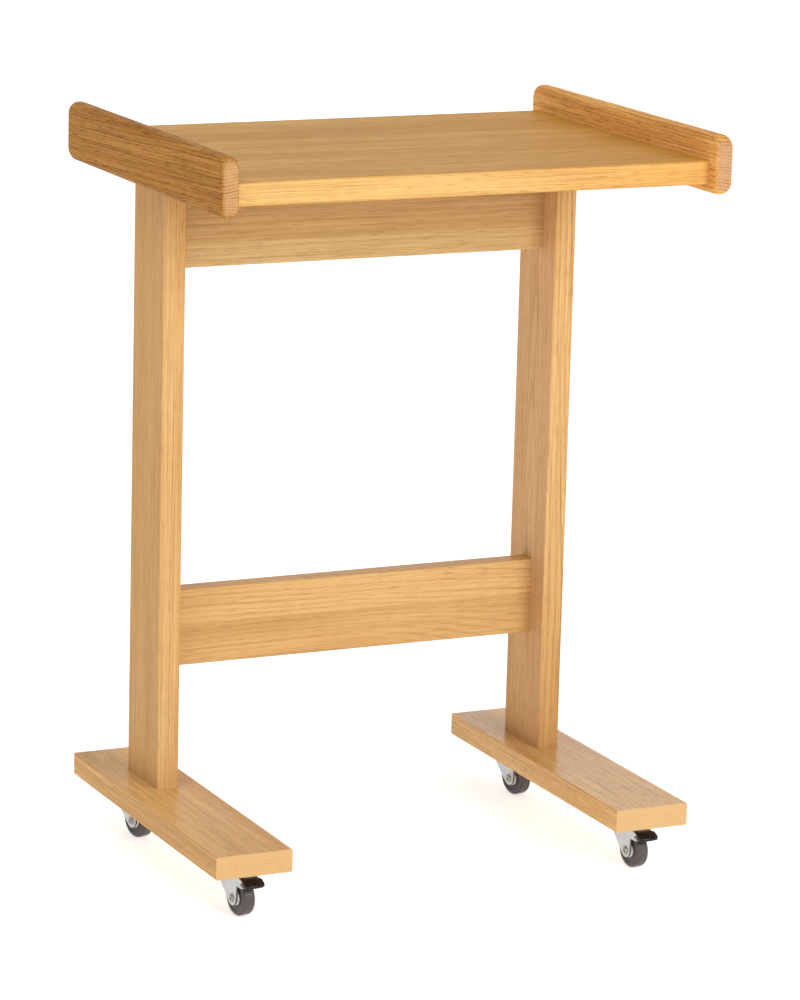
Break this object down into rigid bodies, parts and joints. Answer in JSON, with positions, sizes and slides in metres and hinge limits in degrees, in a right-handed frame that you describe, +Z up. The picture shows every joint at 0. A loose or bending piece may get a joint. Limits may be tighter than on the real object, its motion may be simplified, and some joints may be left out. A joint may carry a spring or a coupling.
{
  "type": "side table",
  "caption": "Oak side table on swivel casters: board between raised end rails, set-back board legs, apron, stretcher and long flat feet, with brake pedals at the front.",
  "frame": {"origin": "on the floor, below the middle of the table's outer box", "axes": "+X to the right end, +Y to the back (the uprights stand nearer the back), +Z up"},
  "size_m": [0.586, 0.434, 0.8175],
  "materials": {
    "oak_top": "satin lacquer, grain along X",
    "oak_rail": "satin lacquer, grain along Y",
    "oak_upright": "satin lacquer, grain along Z",
    "oak_cross": "satin lacquer, grain along X",
    "oak_foot": "satin lacquer, grain along Y",
    "beech": "plain",
    "screw_steel": "zinc plated",
    "zinc_steel": "zinc plated",
    "bearing_steel": "polished",
    "hub_plastic": "moulded",
    "tyre_rubber": "matt",
    "cap_plastic": "moulded",
    "pedal_plastic": "moulded, satin"
  },
  "bodies": {
    "table": {"top_board": "oak_top", "left_end_rail": "oak_rail", "right_end_rail": "oak_rail", "left_upright": "oak_upright", "right_upright": "oak_upright", "apron": "oak_cross", "stretcher": "oak_cross", "left_foot": "oak_foot", "right_foot": "oak_foot", "rail_dowels": "beech", "upright_dowels": "beech", "apron_end_dowels": "beech", "apron_top_dowels": "beech", "stretcher_dowels": "beech", "foot_screws": "screw_steel", "fl_plate": "zinc_steel", "fl_plate_screws": "screw_steel", "fl_race_balls": "bearing_steel", "fl_king_pin": "screw_steel", "fr_plate": "zinc_steel", "fr_plate_screws": "screw_steel", "fr_race_balls": "bearing_steel", "fr_king_pin": "screw_steel", "bl_plate": "zinc_steel", "bl_plate_screws": "screw_steel", "bl_race_balls": "bearing_steel", "bl_king_pin": "screw_steel", "br_plate": "zinc_steel", "br_plate_screws": "screw_steel", "br_race_balls": "bearing_steel", "br_king_pin": "screw_steel"},
    "fl_swivel": {"fl_fork": "zinc_steel", "fl_axle": "screw_steel", "fl_pedal_pin": "screw_steel"},
    "fl_wheel": {"fl_hub": "hub_plastic", "fl_tyre": "tyre_rubber", "fl_hub_caps": "cap_plastic"},
    "fl_brake": {"fl_brake_pedal": "pedal_plastic"},
    "fr_swivel": {"fr_fork": "zinc_steel", "fr_axle": "screw_steel", "fr_pedal_pin": "screw_steel"},
    "fr_wheel": {"fr_hub": "hub_plastic", "fr_tyre": "tyre_rubber", "fr_hub_caps": "cap_plastic"},
    "fr_brake": {"fr_brake_pedal": "pedal_plastic"},
    "bl_swivel": {"bl_fork": "zinc_steel", "bl_axle": "screw_steel"},
    "bl_wheel": {"bl_hub": "hub_plastic", "bl_tyre": "tyre_rubber", "bl_hub_caps": "cap_plastic"},
    "br_swivel": {"br_fork": "zinc_steel", "br_axle": "screw_steel"},
    "br_wheel": {"br_hub": "hub_plastic", "br_tyre": "tyre_rubber", "br_hub_caps": "cap_plastic"}
  },
  "joints": [
    {"name": "fl_swivel_turn", "type": "hinge", "parent": "table", "child": "fl_swivel", "pos_m": [-0.236, -0.139, 0.05], "axis": [0, 0, 1], "continuous": true},
    {"name": "fl_wheel_roll", "type": "hinge", "parent": "fl_swivel", "child": "fl_wheel", "pos_m": [-0.23336, -0.15782, 0.02], "axis": [0.9903, 0.1392, 0], "continuous": true},
    {"name": "fl_brake_press", "type": "hinge", "parent": "fl_swivel", "child": "fl_brake", "pos_m": [-0.23071, -0.17663, 0.0393], "axis": [0.9903, 0.1392, 0], "range_deg": [0, 15]},
    {"name": "fr_swivel_turn", "type": "hinge", "parent": "table", "child": "fr_swivel", "pos_m": [0.236, -0.139, 0.05], "axis": [0, 0, 1], "continuous": true},
    {"name": "fr_wheel_roll", "type": "hinge", "parent": "fr_swivel", "child": "fr_wheel", "pos_m": [0.23766, -0.15793, 0.02], "axis": [0.9962, 0.0872, 0], "continuous": true},
    {"name": "fr_brake_press", "type": "hinge", "parent": "fr_swivel", "child": "fr_brake", "pos_m": [0.23931, -0.17686, 0.0393], "axis": [0.9962, 0.0872, 0], "range_deg": [0, 15]},
    {"name": "bl_swivel_turn", "type": "hinge", "parent": "table", "child": "bl_swivel", "pos_m": [-0.236, 0.153, 0.05], "axis": [0, 0, 1], "continuous": true},
    {"name": "bl_wheel_roll", "type": "hinge", "parent": "bl_swivel", "child": "bl_wheel", "pos_m": [-0.2314, 0.13456, 0.02], "axis": [0.9703, 0.2419, 0], "continuous": true},
    {"name": "br_swivel_turn", "type": "hinge", "parent": "table", "child": "br_swivel", "pos_m": [0.236, 0.153, 0.05], "axis": [0, 0, 1], "continuous": true},
    {"name": "br_wheel_roll", "type": "hinge", "parent": "br_swivel", "child": "br_wheel", "pos_m": [0.23963, 0.13435, 0.02], "axis": [0.9816, 0.1908, 0], "continuous": true}
  ]
}
